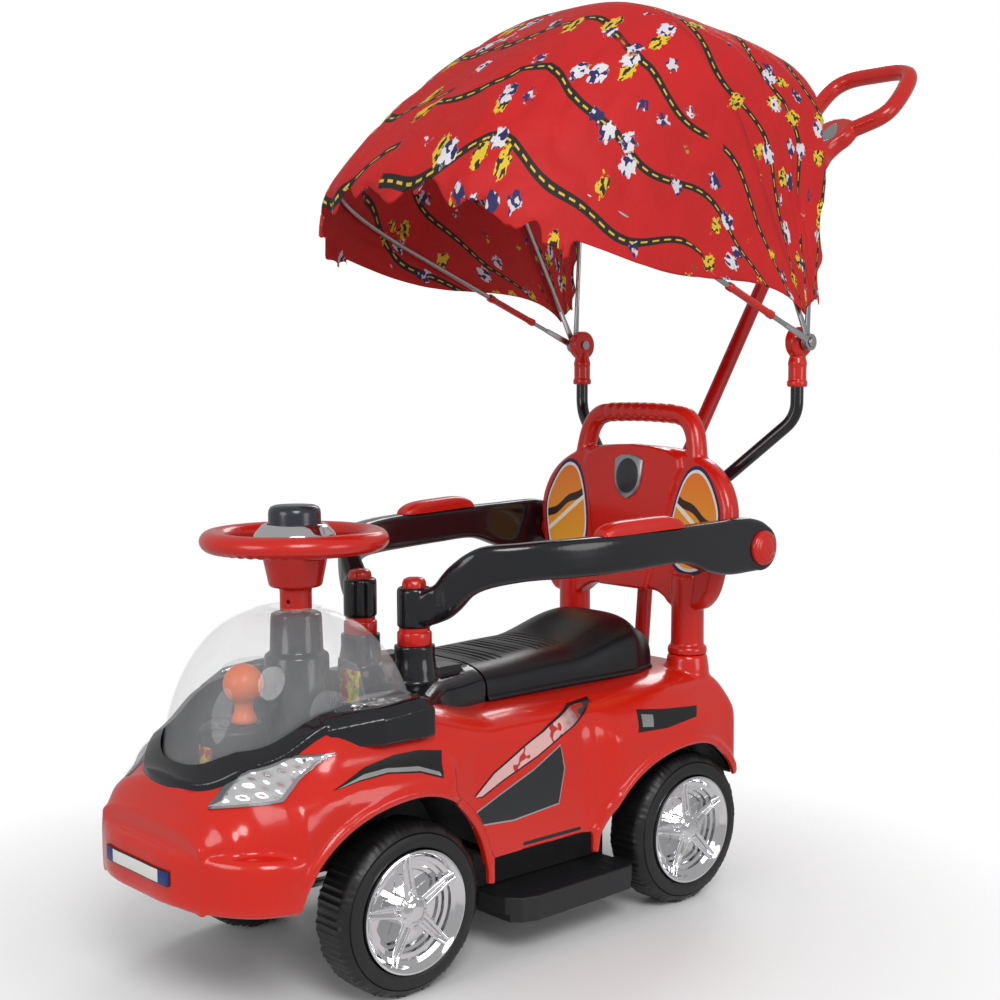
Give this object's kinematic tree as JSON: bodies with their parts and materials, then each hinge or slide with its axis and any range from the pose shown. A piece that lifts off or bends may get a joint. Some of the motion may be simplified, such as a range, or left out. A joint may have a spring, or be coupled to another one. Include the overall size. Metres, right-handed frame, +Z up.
{
  "type": "foot-to-floor ride-on car",
  "caption": "Foot-to-floor ride-on toy car with guard rails, high back, slide-out footrests, push handle and folding sun hood.",
  "frame": {"origin": "on the floor, under the middle of the length and width", "axes": "+X towards the nose, +Y to the car's left, +Z up"},
  "size_m": [1.1999, 0.4268, 1.0514],
  "materials": {
    "red": "gloss",
    "black": "satin",
    "tyre": "ribbed satin",
    "chrome": "bright plated plastic",
    "steel": "plain",
    "pole": "gloss",
    "clear": "clear",
    "white": "satin",
    "orange": "satin",
    "cloth": "printed thin cloth"
  },
  "bodies": {
    "car_body": {"body_shell": "red", "underbody_pan": "black", "dash_trim": "black", "dome": "clear", "number_plate": "white", "sound_box": "black", "seat_hinge_pin": "steel", "storage_bin": "black", "backrest": "red", "push_pole": "pole", "push_handle": "red", "bow_rear": "steel", "rear_axle": "steel", "rail_post_left": "red", "canopy_tube_left": "black", "canopy_clamp_left": "red", "hood_bolt_left": "steel", "indicator_left": "clear", "headlight_left": "clear", "rail_post_right": "red", "canopy_tube_right": "black", "canopy_clamp_right": "red", "hood_bolt_right": "steel", "indicator_right": "clear", "headlight_right": "clear"},
    "steering": {"steering_shaft": "steel", "steering_wheel": "red", "steering_trim": "chrome", "horn_spring": "steel"},
    "horn": {"horn_button": "black"},
    "tie_bar": {"tie_rod": "steel"},
    "toy": {"toy_turntable": "black", "toy_peg": "orange"},
    "seat": {"seat_lid": "black"},
    "middle_bow": {"bow_mid": "steel", "hood_rear": "cloth"},
    "front_bow": {"bow_front": "steel", "hood_front": "cloth", "bow_holder_left": "red", "bow_holder_right": "red"},
    "knuckle_body_left": {"knuckle_left": "steel"},
    "rail_left": {"guard_rail_left": "black", "rail_pad_left": "red"},
    "release_left": {"rail_release_left": "red"},
    "pivot_cap_left": {"rail_pivot_cap_left": "red"},
    "step_left": {"footrest_left": "black"},
    "wheel_front_left": {"tyre_front_left": "tyre", "hubcap_front_left": "chrome"},
    "wheel_rear_left": {"tyre_rear_left": "tyre", "hubcap_rear_left": "chrome"},
    "knuckle_body_right": {"knuckle_right": "steel"},
    "rail_right": {"guard_rail_right": "black", "rail_pad_right": "red"},
    "release_right": {"rail_release_right": "red"},
    "pivot_cap_right": {"rail_pivot_cap_right": "red"},
    "step_right": {"footrest_right": "black"},
    "wheel_front_right": {"tyre_front_right": "tyre", "hubcap_front_right": "chrome"},
    "wheel_rear_right": {"tyre_rear_right": "tyre", "hubcap_rear_right": "chrome"}
  },
  "joints": [
    {"name": "steer", "type": "hinge", "parent": "car_body", "child": "steering", "pos_m": [0.41, 0, 0.088], "axis": [0, 0, 1], "range_deg": [-18, 18]},
    {"name": "horn_press", "type": "slide", "parent": "steering", "child": "horn", "axis": [0, 0, -1], "range_m": [0, 0.004], "stiffness_N_per_m": 250, "springref_m": -0.002, "deforming": ["horn_spring"]},
    {"name": "tie_bar_turn", "type": "hinge", "parent": "steering", "child": "tie_bar", "pos_m": [0.365, 0, 0.0715], "axis": [0, 0, 1], "range_deg": [-18, 18]},
    {"name": "toy_turn", "type": "hinge", "parent": "car_body", "child": "toy", "pos_m": [0.4875, 0, 0.2136], "axis": [0, 0, 1], "continuous": true},
    {"name": "seat_lift", "type": "hinge", "parent": "car_body", "child": "seat", "pos_m": [0.216, 0, 0.298], "axis": [0, 1, 0], "range_deg": [0, 75]},
    {"name": "middle_bow_fold", "type": "hinge", "parent": "car_body", "child": "middle_bow", "pos_m": [-0.182, 0, 0.654], "axis": [0, -1, 0], "range_deg": [0, 22], "deforming": ["hood_rear"]},
    {"name": "front_bow_fold", "type": "hinge", "parent": "middle_bow", "child": "front_bow", "pos_m": [-0.182, 0, 0.654], "axis": [0, -1, 0], "range_deg": [0, 16.5], "deforming": ["hood_front"]},
    {"name": "knuckle_left_steer", "type": "hinge", "parent": "car_body", "child": "knuckle_body_left", "pos_m": [0.3835, 0.098, 0.088], "axis": [0, 0, 1], "range_deg": [-18, 18]},
    {"name": "wheel_front_left_spin", "type": "hinge", "parent": "knuckle_body_left", "child": "wheel_front_left", "pos_m": [0.3835, 0.135, 0.088], "axis": [0, 1, 0], "continuous": true},
    {"name": "wheel_rear_left_spin", "type": "hinge", "parent": "car_body", "child": "wheel_rear_left", "pos_m": [-0.0235, 0.135, 0.088], "axis": [0, 1, 0], "continuous": true},
    {"name": "rail_left_lift", "type": "hinge", "parent": "car_body", "child": "rail_left", "pos_m": [-0.111, 0.181, 0.414], "axis": [0, -1, 0], "range_deg": [0, 30]},
    {"name": "release_left_press", "type": "slide", "parent": "rail_left", "child": "release_left", "axis": [0, 0, -1], "range_m": [0, 0.004], "stiffness_N_per_m": 250, "springref_m": -0.002},
    {"name": "pivot_cap_left_press", "type": "slide", "parent": "rail_left", "child": "pivot_cap_left", "axis": [0, -1, 0], "range_m": [0, 0.003], "stiffness_N_per_m": 250, "springref_m": -0.002},
    {"name": "step_left_slide", "type": "slide", "parent": "car_body", "child": "step_left", "axis": [0, -1, 0], "range_m": [0, 0.06]},
    {"name": "knuckle_right_steer", "type": "hinge", "parent": "car_body", "child": "knuckle_body_right", "pos_m": [0.3835, -0.098, 0.088], "axis": [0, 0, 1], "range_deg": [-18, 18]},
    {"name": "wheel_front_right_spin", "type": "hinge", "parent": "knuckle_body_right", "child": "wheel_front_right", "pos_m": [0.3835, -0.135, 0.088], "axis": [0, 1, 0], "continuous": true},
    {"name": "wheel_rear_right_spin", "type": "hinge", "parent": "car_body", "child": "wheel_rear_right", "pos_m": [-0.0235, -0.135, 0.088], "axis": [0, 1, 0], "continuous": true},
    {"name": "rail_right_lift", "type": "hinge", "parent": "car_body", "child": "rail_right", "pos_m": [-0.111, -0.181, 0.414], "axis": [0, -1, 0], "range_deg": [0, 30]},
    {"name": "release_right_press", "type": "slide", "parent": "rail_right", "child": "release_right", "axis": [0, 0, -1], "range_m": [0, 0.004], "stiffness_N_per_m": 250, "springref_m": -0.002},
    {"name": "pivot_cap_right_press", "type": "slide", "parent": "rail_right", "child": "pivot_cap_right", "axis": [0, 1, 0], "range_m": [0, 0.003], "stiffness_N_per_m": 250, "springref_m": -0.002},
    {"name": "step_right_slide", "type": "slide", "parent": "car_body", "child": "step_right", "axis": [0, 1, 0], "range_m": [0, 0.06]}
  ],
  "couplings": [
    {"joint": "tie_bar_turn", "follows": "steer", "ratio": -1},
    {"joint": "front_bow_fold", "follows": "middle_bow_fold", "ratio": 0.75},
    {"joint": "knuckle_left_steer", "follows": "steer", "ratio": 1},
    {"joint": "knuckle_right_steer", "follows": "steer", "ratio": 1}
  ]
}
